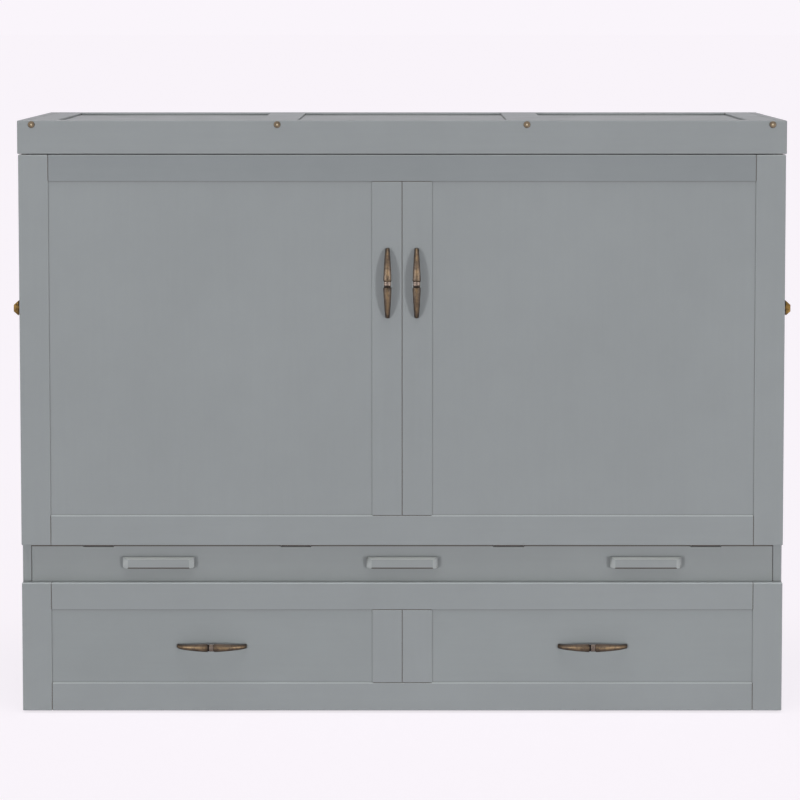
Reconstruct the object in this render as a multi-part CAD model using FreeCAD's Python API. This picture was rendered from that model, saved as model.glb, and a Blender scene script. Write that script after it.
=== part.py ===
import FreeCAD, Part
import math
import os

# Cabinet bed, closed. Millimetres: X to the right, Y to the back, Z up. The origin is on the floor
# under the middle of the whole box that holds the closed bed, its pulls and its lid hinges.

# Driving sizes of the cabinet.
cabinet_width = 1640.0
carcass_depth = 650.0
floor_gap = 5.0
drawer_front_height = 279.0
band_opening = 81.7
panel_height = 841.0
lid_height = 71.1
lid_overhang = 1.5

# Boards.
front_board = 22.0
side_board = 19.0
slat_board = 20.0
infill_board = 6.0
arris = 1.3
infill_tongue = 6.0
glue_line = 0.05
glide_radius = 8.0
bumper_radius = 6.0
band_lap = 14.0
band_lip = 6.0
front_recess = 3.0
lid_recess = 5.0

# Frame members, by width.
outer_stile = 63.5
centre_stile = 64.5
panel_top_rail = 57.0
panel_bottom_rail = 64.5
drawer_top_rail = 58.7
drawer_bottom_rail = 61.0
side_stile = 64.0
carcass_rail = 80.0
lid_end_stile = 77.0
lid_crossbar = 80.0
lid_crossbar_x = 266.5
lid_front_rail = 42.0
lid_back_rail = 50.0

# Clearances.
door_gap = 0.8
lid_gap = 2.6
panel_lid_gap = 1.8
slide_gap = 3.0
pass_gap = 1.0
band_gap = 0.6
rest_gap = 0.3
back_gap = 5.0
running_gap = 0.05
knuckle_gap = 0.3
barrel_gap = 0.2

# Decks.
deck_slat_width = 70.0
deck_slat_count = 12
deck_rail_width = 90.0
deck_tongue = 10.0
cleat = 20.0
ledger_width = 60.0
ledger_bearing = 40.0
batten_width = 60.0
batten_count = 8

# Hinges between panel and deck, and between lid and back.
panel_leaf = 1.5
panel_barrel = 3.0
lid_leaf = 2.0
lid_leaf_height = 30.0
lid_barrel = 3.5
hinge_length = 62.0
knuckles = 5
pin_share = 0.4
pin_end = 1.0
panel_hinge_spots = (-0.8, -0.28, 0.28, 0.8)
lid_hinge_spots = (-0.72, 0.0, 0.72)

# Bow pulls.
pull_length = 150.0
pull_reach = 28.0
pull_end_width = 9.6
pull_mid_width = 17.6
pull_thickness = 7.2
pull_height_z = 932.0
panel_pull_x = 31.2
pull_swell = 1.3
pull_end_cut = 1.6
pull_sections = 6
collar_length = 9.0
collar_edge = 0.84
collar_crown = 0.92
neck_length = 14.0
neck_width = 0.74
neck_thickness = 0.8
neck_overlap = 0.01
drawer_pull_x = 411.0

# Finger pulls on the band.
finger_length = 154.0
finger_height = 24.7
finger_reach = 12.5
finger_top_bevel = 5.0
finger_top_depth = 6.0
finger_end_bevel = 11.0
finger_end_depth = 7.0
finger_round = 4.0
finger_wall = 5.0
finger_end_wall = 14.0
finger_undercut = 12.0
finger_lift = 1.5
finger_x = 526.0

# Side latches.
latch_z = 878.0
latch_plate = 2.0
latch_plate_height = 48.0
latch_plate_width = 36.0
latch_plate_corner = 8.0
pivot_radius = 4.0
pivot_cap_radius = 7.0
pivot_cap = 2.0
latch_arm = 3.7
latch_arm_height = 12.0
latch_reach = 12.3
grip_base = 36.0
grip_crown = 14.0
grip_front = 8.0
grip_back = 11.0
grip_wall = 4.0
latch_pivot_y = 24.0
stud_radius = 3.0
stud_flange = 8.0
stud_play = 0.6
boss_radius = 11.0

# Rolling foot section and its drawer.
caster_height = 46.0
caster_setback = 40.0
caster_plate_length = 40.0
caster_width = 18.0
fork_plate = 1.5
fork_radius = 13.0
wheel_radius = 20.0
wheel_width = 14.0
tyre_depth = 4.0
tyre_round = 1.5
wheel_dish = 2.5
hub_wall = 3.0
axle_radius = 3.0
runner_width = 13.0
runner_height = 36.0
runner_steel = 1.5
runner_play = 0.6
drawer_board = 12.0
drawer_box_lift = 35.0
drawer_head_gap = 15.0
drawer_back_gap = 27.0
drawer_travel_share = 0.75

# Bolts in the lid's front board.
bolt_head_radius = 7.5
bolt_head = 2.0
bolt_shank_radius = 3.0
bolt_shank = 60.0
bolt_socket = 4.0
bolt_drop = 8.5
bolt_outset = 8.0
bolt_draft = 1.0

# How far a cut runs past what it cuts.
overcut = 1.0

# Places worked out from the sizes above.
half_width = cabinet_width / 2
side_inner = half_width - side_board
edge_y = (front_board + pull_reach - carcass_depth - 2 * lid_barrel) / 2
face_y = edge_y - front_board
back_y = edge_y + carcass_depth
back_inner_y = back_y - side_board
drawer_bottom_z = floor_gap
drawer_top_z = drawer_bottom_z + drawer_front_height
panel_bottom_z = drawer_top_z + band_opening
panel_top_z = panel_bottom_z + panel_height
lid_bottom_z = panel_top_z + panel_lid_gap
lid_top_z = lid_bottom_z + lid_height
side_top_z = lid_bottom_z - lid_gap
fold_y = edge_y + panel_leaf
fold_z = panel_bottom_z - panel_barrel - barrel_gap
lid_axis_y = back_y + lid_barrel
lid_axis_z = (side_top_z + lid_bottom_z) / 2
folded_bottom_z = fold_z - (fold_y - face_y)
folded_top_z = fold_z - panel_leaf
folded_end_y = fold_y - (panel_top_z - fold_z)
deck_bottom_z = folded_top_z
deck_top_z = deck_bottom_z + slat_board
foot_top_z = fold_z - panel_barrel - pass_gap
foot_slat_z = foot_top_z - slat_board
foot_outer = side_inner - slide_gap
foot_inner = foot_outer - side_board
foot_front_y = edge_y + door_gap
foot_back_y = back_inner_y - cleat - back_gap
ledger_top_z = folded_bottom_z - rest_gap
foot_side_top_z = ledger_top_z - slide_gap
drawer_box_depth = foot_back_y - side_board - drawer_back_gap - edge_y
drawer_outer = foot_inner - runner_width
drawer_box_z = drawer_bottom_z + drawer_box_lift
drawer_box_height = drawer_top_z - band_lap - drawer_head_gap - drawer_box_z
stud_y = edge_y - front_board / 2
pivot_y = edge_y + latch_pivot_y
stud_end = half_width + latch_reach - grip_wall
# The grip's slopes would meet the cabinet's side face at its full base height.
grip_foot = grip_base - (grip_base - grip_crown) * (latch_plate + rest_gap) / latch_reach

# How far the foot section and the drawer slide out from the closed bed, which is the range of their
# joints. The folded panel's end then lies on the ledger by its bearing.
foot_travel = foot_back_y - folded_end_y - ledger_bearing
drawer_travel = drawer_travel_share * drawer_box_depth


def vector(x, y, z):
    return FreeCAD.Vector(x, y, z)


# A block from three ranges, given in the order of the plane: across, along, then through.
def block(plane, across, along, through):
    order = {"front": (0, 2, 1), "side": (1, 2, 0), "top": (0, 1, 2)}[plane]
    low = [0.0, 0.0, 0.0]
    size = [0.0, 0.0, 0.0]
    for axis, limits in zip(order, (across, along, through)):
        low[axis] = min(limits)
        size[axis] = max(limits) - min(limits)
    return Part.makeBox(size[0], size[1], size[2], vector(*low))


# A planed board: a block with its sharp arrises taken off.
def board(plane, across, along, through):
    blank = block(plane, across, along, through)
    return blank.makeChamfer(arris, blank.Edges)


# A round rod along X from one x to another.
def rod(x_start, x_end, y, z, radius):
    start = vector(min(x_start, x_end), y, z)
    return Part.makeCylinder(radius, abs(x_end - x_start), start, vector(1, 0, 0))


# Frame members with grooves for the edges of the pieces that sit in them.
def grooved(members, tenants):
    cut_members = []
    for member in members:
        for tenant in tenants:
            if member.BoundBox.intersect(tenant.BoundBox):
                member = member.cut(tenant)
        cut_members.append(member)
    return cut_members


# An infill that fills an opening and runs on into the grooves round it.
def infill(plane, across, along, through):
    wide = (min(across) - infill_tongue, max(across) + infill_tongue)
    tall = (min(along) - infill_tongue, max(along) + infill_tongue)
    return block(plane, wide, tall, through)


# A member between two others stops a glue line short of each.
def fitted(limits):
    return (limits[0] + glue_line, limits[1] - glue_line)


def both(inner, outer):
    return ((-outer, -inner), (inner, outer))


def save(name, solids):
    shape = solids[0] if len(solids) == 1 else Part.makeCompound(solids)
    shape.exportStep(os.path.join("parts", name + ".step"))


# Two stiles, rails between them, and an infill between each pair of rails, for a carcass side.
def carcass_side(side, name):
    across = (edge_y + door_gap, back_y)
    through = (side * side_inner, side * half_width)
    middle = (drawer_top_z, deck_bottom_z + cleat * 2)
    rails = ((floor_gap, floor_gap + carcass_rail), middle, (side_top_z - side_stile, side_top_z))
    front_stile = (across[0], across[0] + side_stile)
    back_stile = (across[1] - side_stile, across[1])
    between = (front_stile[1], back_stile[0])
    skin = side * (half_width - side_board / 2)
    thin = (skin - infill_board / 2, skin + infill_board / 2)
    infills = [infill("side", between, (low[1], high[0]), thin) for low, high in zip(rails, rails[1:])]
    tall = (floor_gap, side_top_z)
    members = [board("side", stile, tall, through) for stile in (front_stile, back_stile)]
    members += [board("side", fitted(between), rail, through) for rail in rails]
    save("side_frame_" + name, grooved(members, infills))
    save("side_infill_" + name, infills)


def carcass_back():
    through = (back_inner_y, back_y)
    outer = side_inner
    stiles = both(outer - side_stile, outer)
    half_mullion = side_stile / 2
    mullions = [(x - half_mullion, x + half_mullion) for x in (-lid_crossbar_x, lid_crossbar_x)]
    middle = (deck_bottom_z - 1.5 * cleat, deck_bottom_z - 1.5 * cleat + carcass_rail)
    rails = ((floor_gap, floor_gap + carcass_rail), middle, (side_top_z - carcass_rail, side_top_z))
    uprights = (stiles[0], mullions[0], mullions[1], stiles[1])
    bays = [(left[1], right[0]) for left, right in zip(uprights, uprights[1:])]
    skin = (through[0] + through[1]) / 2
    thin = (skin - infill_board / 2, skin + infill_board / 2)
    storeys = [(low[1], high[0]) for low, high in zip(rails, rails[1:])]
    infills = [infill("front", bay, storey, thin) for bay in bays for storey in storeys]
    members = [board("front", stile, (floor_gap, side_top_z), through) for stile in stiles]
    members += [board("front", fitted((stiles[0][1], stiles[1][0])), rail, through) for rail in rails]
    for mullion in mullions:
        members += [board("front", mullion, fitted(storey), through) for storey in storeys]
    save("back_frame", grooved(members, infills))
    save("back_infill", infills)


# Evenly spaced strips of one width, edge to edge over a span.
def strips(half_span, width, count):
    pitch = (2 * half_span - width) / (count - 1)
    return [(-half_span + index * pitch, -half_span + index * pitch + width) for index in range(count)]


# The head deck: a front rail with a deeper nosing that carries the panel's hinges, and slats from the
# rail to the back.
def head_deck():
    rail_front = edge_y + 2 * panel_leaf
    rail_back = rail_front + deck_rail_width
    depth = (deck_bottom_z, deck_top_z)
    nosing_back = rail_front + panel_barrel + knuckle_gap + panel_leaf
    nosing_depth = (fold_z + panel_barrel + knuckle_gap, deck_top_z)
    span = (-side_inner, side_inner)
    nosing = board("top", span, (rail_front, nosing_back), nosing_depth)
    rail = board("top", span, (nosing_back, rail_back), depth)
    tongue = (deck_bottom_z + slat_board / 4, deck_top_z - slat_board / 4)
    slats = []
    for across in strips(side_inner - slide_gap, deck_slat_width, deck_slat_count):
        body = board("top", across, (rail_back, back_inner_y), depth)
        inset = (across[0] + arris, across[1] - arris)
        slats.append(body.fuse(block("top", inset, (rail_back - deck_tongue, rail_back + overcut), tongue)))
    save("deck_front_rail", [nosing] + grooved([rail], slats))
    save("deck_slats", slats)


# Strips of wood on the sides and the back that the head deck rests on.
def deck_cleats():
    along = (deck_bottom_z - cleat, deck_bottom_z)
    front = foot_front_y + side_board + slide_gap
    strips_of_wood = []
    for across in both(side_inner - cleat, side_inner):
        strips_of_wood.append(board("front", across, along, (front, back_inner_y)))
    inner = side_inner - cleat
    strips_of_wood.append(board("front", (-inner, inner), along, (back_inner_y - cleat, back_inner_y)))
    save("deck_cleats", strips_of_wood)


# Nylon pads: under the carcass, and on its top edges for the lid to rest on.
def glides_and_bumpers():
    middle = half_width - side_board / 2
    inset = side_stile / 2
    spots = [(x, y) for x in (-middle, middle) for y in (edge_y + inset, back_y - inset)]
    spots += [(x, back_y - side_board / 2) for x in (-lid_crossbar_x, lid_crossbar_x)]
    pads = [Part.makeCylinder(glide_radius, floor_gap, vector(x, y, 0)) for x, y in spots]
    rests = [Part.makeCylinder(bumper_radius, lid_gap, vector(x, y, side_top_z)) for x, y in spots]
    save("floor_glides", pads)
    save("lid_bumpers", rests)


# One hinge leaf: its plate with every second knuckle, cleared round the other leaf's knuckles.
def hinge_leaf(plate, x_start, y, z, radius, first, bore):
    pitch = hinge_length / knuckles
    leaf = plate
    for index in range(knuckles):
        start = x_start + index * pitch
        end = start + pitch
        if index % 2 == first:
            leaf = leaf.fuse(rod(start + knuckle_gap / 2, end - knuckle_gap / 2, y, z, radius))
        else:
            leaf = leaf.cut(rod(start - knuckle_gap / 2, end + knuckle_gap / 2, y, z, radius + knuckle_gap))
    return leaf.cut(rod(x_start - pin_end, x_start + hinge_length + pin_end, y, z, bore))


# Butt hinges: both leaves and the pins of a row of hinges that share one axis.
def hinge_row(spots, y, z, radius, fixed_plate, moving_plate):
    fixed = []
    moving = []
    pins = []
    pin_radius = radius * pin_share
    for spot in spots:
        x_start = spot * half_width - hinge_length / 2
        across = (x_start, x_start + hinge_length)
        still = block("front", across, fixed_plate[1], fixed_plate[0])
        swung = block("front", across, moving_plate[1], moving_plate[0])
        fixed.append(hinge_leaf(still, x_start, y, z, radius, 0, pin_radius))
        moving.append(hinge_leaf(swung, x_start, y, z, radius, 1, pin_radius + running_gap))
        pins.append(rod(x_start - pin_end, x_start + hinge_length + pin_end, y, z, pin_radius))
    return fixed, moving, pins


def hinges():
    panel_up = (fold_z, deck_top_z - arris)
    panel_row = hinge_row(
        panel_hinge_spots,
        fold_y,
        fold_z,
        panel_barrel,
        ((fold_y, fold_y + panel_leaf), panel_up),
        ((fold_y - panel_leaf, fold_y), panel_up),
    )
    lid_row = hinge_row(
        lid_hinge_spots,
        lid_axis_y,
        lid_axis_z,
        lid_barrel,
        ((back_y, back_y + lid_leaf), (lid_axis_z - lid_leaf_height, lid_axis_z)),
        ((back_y, back_y + lid_leaf), (lid_axis_z, lid_axis_z + lid_leaf_height)),
    )
    save("panel_hinge_fixed_leaves", panel_row[0])
    save("panel_hinge_moving_leaves", panel_row[1])
    save("lid_hinge_fixed_leaves", lid_row[0])
    save("lid_hinge_moving_leaves", lid_row[1])
    save("hinge_pins", panel_row[2] + lid_row[2])


# A flat-headed connector bolt with a hexagonal socket, its head against the lid's front board.
def connector_bolt(x, z):
    facing = vector(0, 1, 0)
    start = vector(x, face_y - bolt_head, z)
    head = Part.makeCone(bolt_head_radius - bolt_draft, bolt_head_radius, bolt_head, start, facing)
    shank = Part.makeCylinder(bolt_shank_radius, bolt_shank, vector(x, face_y, z), facing)
    corners = []
    for turn in range(7):
        angle = math.radians(60 * turn)
        across = bolt_socket / 2 / math.cos(math.radians(30))
        corner_x = x + across * math.cos(angle)
        corners.append(vector(corner_x, face_y - bolt_head, z + across * math.sin(angle)))
    socket = Part.Face(Part.makePolygon(corners)).extrude(vector(0, bolt_head + overcut, 0))
    return head.fuse(shank).cut(socket)


# The lid: a box of boards with a framed top of three recessed panels.
def lid():
    half_lid = half_width + lid_overhang
    skirt_inner = half_lid - side_board
    tall = (lid_bottom_z, lid_top_z)
    front = board("front", (-half_lid, half_lid), tall, (face_y, edge_y))
    skirts = [board("side", (edge_y, back_y), tall, across) for across in both(skirt_inner, half_lid)]
    back = board("front", (-skirt_inner, skirt_inner), tall, (back_inner_y, back_y))
    through = (lid_top_z - front_board, lid_top_z)
    stile_inner = half_lid - lid_end_stile
    depth = (edge_y, back_inner_y)
    stiles = [board("top", across, depth, through) for across in both(stile_inner, skirt_inner)]
    front_rail = (edge_y, edge_y + lid_front_rail)
    back_rail = (back_inner_y - lid_back_rail, back_inner_y)
    width = fitted((-stile_inner, stile_inner))
    rails = [board("top", width, rail, through) for rail in (front_rail, back_rail)]
    half_bar = lid_crossbar / 2
    bars = [(x - half_bar, x + half_bar) for x in (-lid_crossbar_x, lid_crossbar_x)]
    open_depth = (front_rail[1], back_rail[0])
    crossbars = [board("top", bar, fitted(open_depth), through) for bar in bars]
    bays = ((-stile_inner, bars[0][0]), (bars[0][1], bars[1][0]), (bars[1][1], stile_inner))
    thin = (lid_top_z - lid_recess - infill_board, lid_top_z - lid_recess)
    infills = [infill("top", bay, open_depth, thin) for bay in bays]
    bolt_x = half_lid - lid_end_stile / 2 + bolt_outset
    bolt_spots = (-bolt_x, -lid_crossbar_x, lid_crossbar_x, bolt_x)
    bolts = [connector_bolt(x, lid_top_z - bolt_drop) for x in bolt_spots]
    save("lid_front_board", grooved([front], bolts))
    save("lid_side_skirts", skirts)
    save("lid_back_board", [back])
    save("lid_end_stiles", grooved(stiles, infills + bolts))
    save("lid_rails", grooved(rails, infills + bolts))
    save("lid_crossbars", grooved(crossbars, infills + bolts))
    save("lid_infill", infills)
    save("lid_bolts", bolts)


# A faced front with outer stiles, two rails, two centre stiles and an infill each side of them.
def double_front(name, bottom_z, top_z, bottom_rail, top_rail):
    through = (face_y, edge_y)
    stile_inner = half_width - outer_stile
    stiles = [board("front", across, (bottom_z, top_z), through) for across in both(stile_inner, half_width)]
    low_rail = (bottom_z, bottom_z + bottom_rail)
    high_rail = (top_z - top_rail, top_z)
    width = fitted((-stile_inner, stile_inner))
    rails = [board("front", width, rail, through) for rail in (low_rail, high_rail)]
    opening = (low_rail[1], high_rail[0])
    centres = [board("front", fitted(across), fitted(opening), through) for across in both(0, centre_stile)]
    thin = (face_y + front_recess, face_y + front_recess + infill_board)
    infills = [infill("front", across, opening, thin) for across in both(centre_stile, stile_inner)]
    save(name + "_outer_stiles", grooved(stiles, infills))
    save(name + "_rails", grooved(rails, infills))
    save(name + "_centre_stiles", grooved(centres, infills))
    save(name + "_infill", infills)


# Battens on the panel's back, which carry the mattress when the panel lies folded down.
def panel_battens():
    along = (panel_bottom_z + panel_bottom_rail / 2, panel_top_z - panel_top_rail / 4)
    inner = half_width - outer_stile
    battens = strips(inner, batten_width, batten_count)
    through = (edge_y, edge_y + slat_board)
    save("panel_battens", [board("front", across, along, through) for across in battens])


# The bow's middle line is half an ellipse: its rise and half its span.
def bow_line():
    return pull_reach - pull_thickness / 2, (pull_length - pull_thickness) / 2 + pull_end_cut


# An ellipse that stands square to a pull's bow, at an angle from the middle of the bow.
def bow_section(angle, width, thickness):
    rise, half_span = bow_line()
    tangent = vector(half_span * math.cos(angle), rise * math.sin(angle), 0).normalize()
    outward = vector(tangent.y, -tangent.x, 0)
    turn = FreeCAD.Rotation(vector(0, 0, 1), outward, tangent, "ZXY")
    wire = Part.Wire([Part.Ellipse(vector(0, 0, 0), width / 2, thickness / 2).toShape()])
    place = vector(half_span * math.sin(angle), -rise * math.cos(angle), 0)
    wire.Placement = FreeCAD.Placement(place, turn)
    return wire


# A bow pull along X that stands out towards -Y from y = 0: two tapered leaves and a ringed neck.
def bow_pull():
    half_span = bow_line()[1]
    end_angle = math.pi / 2
    neck_angle = neck_length / 2 / half_span
    leaves = []
    for side in (-1, 1):
        sections = []
        for step in range(pull_sections + 1):
            share = step / pull_sections
            angle = side * (neck_angle + (end_angle - neck_angle) * share)
            along = (math.sin(abs(angle)) - math.sin(neck_angle)) / (1 - math.sin(neck_angle))
            swell = 1 - along**pull_swell
            width = pull_end_width + (pull_mid_width - pull_end_width) * swell
            sections.append(bow_section(angle, width, pull_thickness))
        leaves.append(Part.makeLoft(sections, True))
    neck_size = (pull_mid_width * neck_width, pull_thickness * neck_thickness)
    neck_reach = neck_angle + neck_overlap
    neck = Part.makeLoft([bow_section(angle, *neck_size) for angle in (-neck_reach, neck_reach)], True)
    ring_angle = collar_length / 2 / half_span
    ring_shape = ((-ring_angle, collar_edge), (0, collar_crown), (ring_angle, collar_edge))
    rings = [bow_section(angle, pull_mid_width * share, pull_thickness) for angle, share in ring_shape]
    ring = Part.makeLoft(rings, True)
    pull = leaves[0].fuse([leaves[1], neck, ring])
    foot = (-pull_length / 2, pull_length / 2)
    return pull.common(block("top", foot, (-pull_length, 0), (-pull_mid_width, pull_mid_width)))


def bow_pulls():
    flat = bow_pull()
    upright = flat.copy()
    upright.rotate(vector(0, 0, 0), vector(0, 1, 0), 90)
    drawer_opening = (drawer_bottom_z + drawer_bottom_rail, drawer_top_z - drawer_top_rail)
    drawer_pull_z = sum(drawer_opening) / 2
    for side, name in ((-1, "left"), (1, "right")):
        tall = upright.copy()
        tall.translate(vector(side * panel_pull_x, face_y, pull_height_z))
        save("panel_pull_" + name, [tall])
        wide = flat.copy()
        wide.translate(vector(side * drawer_pull_x, face_y + front_recess, drawer_pull_z))
        save("drawer_pull_" + name, [wide])


# The band on the foot section's front: a rail with a thin lip that covers the ends of the gap, and
# strips that carry the lip up between the panel's hinges.
def band():
    half_band = side_inner - band_gap
    low = drawer_top_z - band_lap
    lip_top = panel_bottom_z - pass_gap
    lip_depth = (foot_front_y, foot_front_y + band_lip)
    lip = board("front", (-half_band, half_band), (low, lip_top), lip_depth)
    behind = (foot_front_y + band_lip - arris, foot_front_y + side_board)
    rail = lip.common(block("front", (-half_band, half_band), (low, foot_top_z), lip_depth))
    rail = rail.fuse(block("front", (-foot_outer, foot_outer), (low, foot_top_z), behind))
    stops = [-half_band]
    for spot in sorted(panel_hinge_spots):
        reach = hinge_length / 2 + 2 * pin_end
        stops += [spot * half_width - reach, spot * half_width + reach]
    stops.append(half_band)
    caps = [
        lip.common(block("front", (stops[index], stops[index + 1]), (foot_top_z, lip_top), lip_depth))
        for index in range(0, len(stops), 2)
    ]
    save("band_rail", [rail] + caps)


# A wooden finger pull glued to the band: bevelled on top and at its ends, rounded at its lower corners
# and hollow behind its lower edge for the fingers.
def finger_pull(centre):
    top = folded_bottom_z - finger_lift
    bottom = top - finger_height
    front = foot_front_y - finger_reach
    profile = (
        (foot_front_y, top),
        (front + finger_top_depth, top),
        (front, top - finger_top_bevel),
        (front, bottom + arris),
        (front + arris, bottom),
        (foot_front_y, bottom),
    )
    corners = [vector(centre - finger_length / 2, y, z) for y, z in profile]
    pull = Part.Face(Part.makePolygon(corners + corners[:1])).extrude(vector(finger_length, 0, 0))
    for side in (-1, 1):
        end = centre + side * finger_length / 2
        wedge = [(end, front + finger_end_depth), (end - side * finger_end_bevel, front), (end, front)]
        outline = [vector(x, y, bottom - finger_height) for x, y in wedge + wedge[:1]]
        pull = pull.cut(Part.Face(Part.makePolygon(outline)).extrude(vector(0, 0, 3 * finger_height)))
        nook = (end, end - side * finger_round)
        corner = block("front", nook, (bottom, bottom + finger_round), (front, foot_front_y))
        middle = vector(nook[1], front - overcut, bottom + finger_round)
        rounding = Part.makeCylinder(finger_round, finger_reach + 2 * overcut, middle, vector(0, 1, 0))
        pull = pull.cut(corner.cut(rounding))
    half_hollow = finger_length / 2 - finger_end_wall
    hollow = (centre - half_hollow, centre + half_hollow)
    depth = (front + finger_wall, foot_front_y)
    return pull.cut(block("front", hollow, (bottom - overcut, bottom + finger_undercut), depth))


def finger_pulls():
    save("finger_pulls", [finger_pull(centre) for centre in (-finger_x, 0.0, finger_x)])


# The foot section's box: sides, a back rail with a ledger for the folded panel, bearers and slats.
def foot_box():
    rail_back = foot_front_y + side_board
    tall = (caster_height, foot_side_top_z)
    length = (rail_back, foot_back_y)
    sides = [board("side", length, tall, across) for across in both(foot_inner, foot_outer)]
    width = (-foot_inner, foot_inner)
    ledger_z = ledger_top_z - slat_board
    back_rail = board("front", width, (caster_height, ledger_z), (foot_back_y - side_board, foot_back_y))
    ledger_front = foot_back_y - ledger_width
    ledger = board("top", width, (ledger_front, foot_back_y), (ledger_z, ledger_top_z))
    deep = (foot_slat_z - 2 * cleat, foot_slat_z)
    bearers = [board("front", width, deep, (y, y + cleat)) for y in (rail_back, ledger_front - cleat)]
    rows = strips(foot_inner - slide_gap, deck_slat_width, deck_slat_count)
    slats = [board("top", row, (rail_back, ledger_front), (foot_slat_z, foot_top_z)) for row in rows]
    save("foot_sides", sides)
    save("foot_back_rail", [back_rail])
    save("foot_ledger", [ledger])
    save("foot_bearers", bearers)
    save("foot_slats", slats)


# A wheel with a rounded tread, dished faces and a bore, turned about X.
def wheel(x, y):
    half = wheel_width / 2
    bore = axle_radius + running_gap
    rim = wheel_radius - tyre_depth
    dish = half - wheel_dish
    shoulder = half - tyre_round
    near_side = (
        (-half, bore),
        (-half, bore + hub_wall),
        (-dish, bore + hub_wall + 1),
        (-dish, rim),
        (-half, rim),
        (-half, wheel_radius - tyre_round),
        (-shoulder, wheel_radius),
    )
    profile = near_side + tuple((-across, up) for across, up in reversed(near_side))
    corners = [vector(x + across, y, wheel_radius + up) for across, up in profile]
    outline = Part.Face(Part.makePolygon(corners + corners[:1]))
    return outline.revolve(vector(x, y, wheel_radius), vector(1, 0, 0), 360)


# A fixed caster's fork: a top plate and two cheeks with the axle's hole.
def caster_fork(x, y):
    half = caster_width / 2
    along = (y - caster_plate_length / 2, y + caster_plate_length / 2)
    fork = block("top", (x - half, x + half), along, (caster_height - fork_plate, caster_height))
    for inner, outer in ((-half, -half + fork_plate), (half - fork_plate, half)):
        upper = (y - fork_radius, y + fork_radius)
        cheek = block("top", (x + inner, x + outer), upper, (wheel_radius, caster_height))
        fork = fork.fuse(cheek.fuse(rod(x + inner, x + outer, y, wheel_radius, fork_radius)))
    return fork.cut(rod(x - half - overcut, x + half + overcut, y, wheel_radius, axle_radius + running_gap))


def casters():
    x = (foot_inner + foot_outer) / 2
    front = foot_front_y + side_board + caster_setback
    back = foot_back_y - caster_setback
    forks = []
    axles = []
    for side, side_name in ((-1, "left"), (1, "right")):
        for y, end_name in ((front, "front"), (back, "back")):
            forks.append(caster_fork(side * x, y))
            reach = caster_width / 2
            axles.append(rod(side * x - reach, side * x + reach, y, wheel_radius, axle_radius))
            save("wheel_" + end_name + "_" + side_name, [wheel(side * x, y)])
    save("caster_forks", forks)
    save("caster_axles", axles)


# Drawer runners: a channel on each side of the foot section, and a channel on the drawer inside it.
def runners():
    low = drawer_box_z + drawer_box_height / 3
    high = low + runner_height
    front = foot_front_y + side_board + slide_gap
    back = foot_front_y + drawer_box_depth
    slide_front = edge_y + drawer_board
    inset = runner_steel + runner_play
    skin = inset + runner_steel
    groove_height = (low + runner_steel, high - runner_steel)
    slider_depth = (slide_front, back - slide_gap)
    channels = []
    sliders = []
    for side in (-1, 1):
        wall = side * foot_inner
        mouth = side * drawer_outer
        lip = side * (drawer_outer + runner_steel)
        outer = block("side", (front, back), (low, high), (wall, lip))
        groove_wall = side * (foot_inner - runner_steel)
        groove = block("side", (front - overcut, back + overcut), groove_height, (groove_wall, mouth))
        channels.append(outer.cut(groove))
        slider_wall = side * (foot_inner - inset)
        slider = block("side", slider_depth, (low + inset, high - inset), (slider_wall, mouth))
        core_wall = side * (foot_inner - skin)
        core_depth = (slide_front - overcut, back + overcut)
        core = block("side", core_depth, (low + skin, high - skin), (core_wall, lip))
        sliders.append(slider.cut(core))
    save("runner_channels", channels)
    save("runner_sliders", sliders)


# The drawer's box behind its front: two sides, two ends, a grooved-in bottom and a bearer under it.
def drawer_box():
    tall = (drawer_box_z, drawer_box_z + drawer_box_height)
    inner = drawer_outer - drawer_board
    back = edge_y + drawer_box_depth
    length = (edge_y + drawer_board, back)
    sides = [board("side", length, tall, across) for across in both(inner, drawer_outer)]
    front_end = board("front", (-drawer_outer, drawer_outer), tall, (edge_y, edge_y + drawer_board))
    back_end = board("front", (-inner, inner), tall, (back - drawer_board, back))
    floor_z = drawer_box_z + drawer_board
    open_depth = (edge_y + drawer_board, back - drawer_board)
    bottom = infill("top", (-inner, inner), open_depth, (floor_z, floor_z + infill_board))
    bearer = board("top", (-batten_width / 2, batten_width / 2), open_depth, (drawer_box_z, floor_z))
    save("drawer_sides", grooved(sides, [bottom]))
    save("drawer_box_ends", grooved([front_end, back_end], [bottom]))
    save("drawer_bottom", [bottom])
    save("drawer_bottom_bearer", [bearer])


# The latch's plate on the carcass side, with the pivot and its cap.
def latch_base(side):
    half_tall = latch_plate_height / 2
    half_wide = latch_plate_width / 2
    across = (pivot_y - half_wide, pivot_y + half_wide)
    through = (side * half_width, side * (half_width + latch_plate))
    plate = block("side", across, (latch_z - half_tall, latch_z + half_tall), through)
    corners = [edge for edge in plate.Edges if abs(edge.tangentAt(0).x) > 0.9]
    plate = plate.makeFillet(latch_plate_corner, corners)
    cap_start = half_width + latch_plate + latch_arm + 2 * rest_gap
    post = rod(side * half_width, side * (cap_start + pivot_cap), pivot_y, latch_z, pivot_radius)
    cap = rod(side * cap_start, side * (cap_start + pivot_cap), pivot_y, latch_z, pivot_cap_radius)
    return plate.fuse([post, cap])


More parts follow.
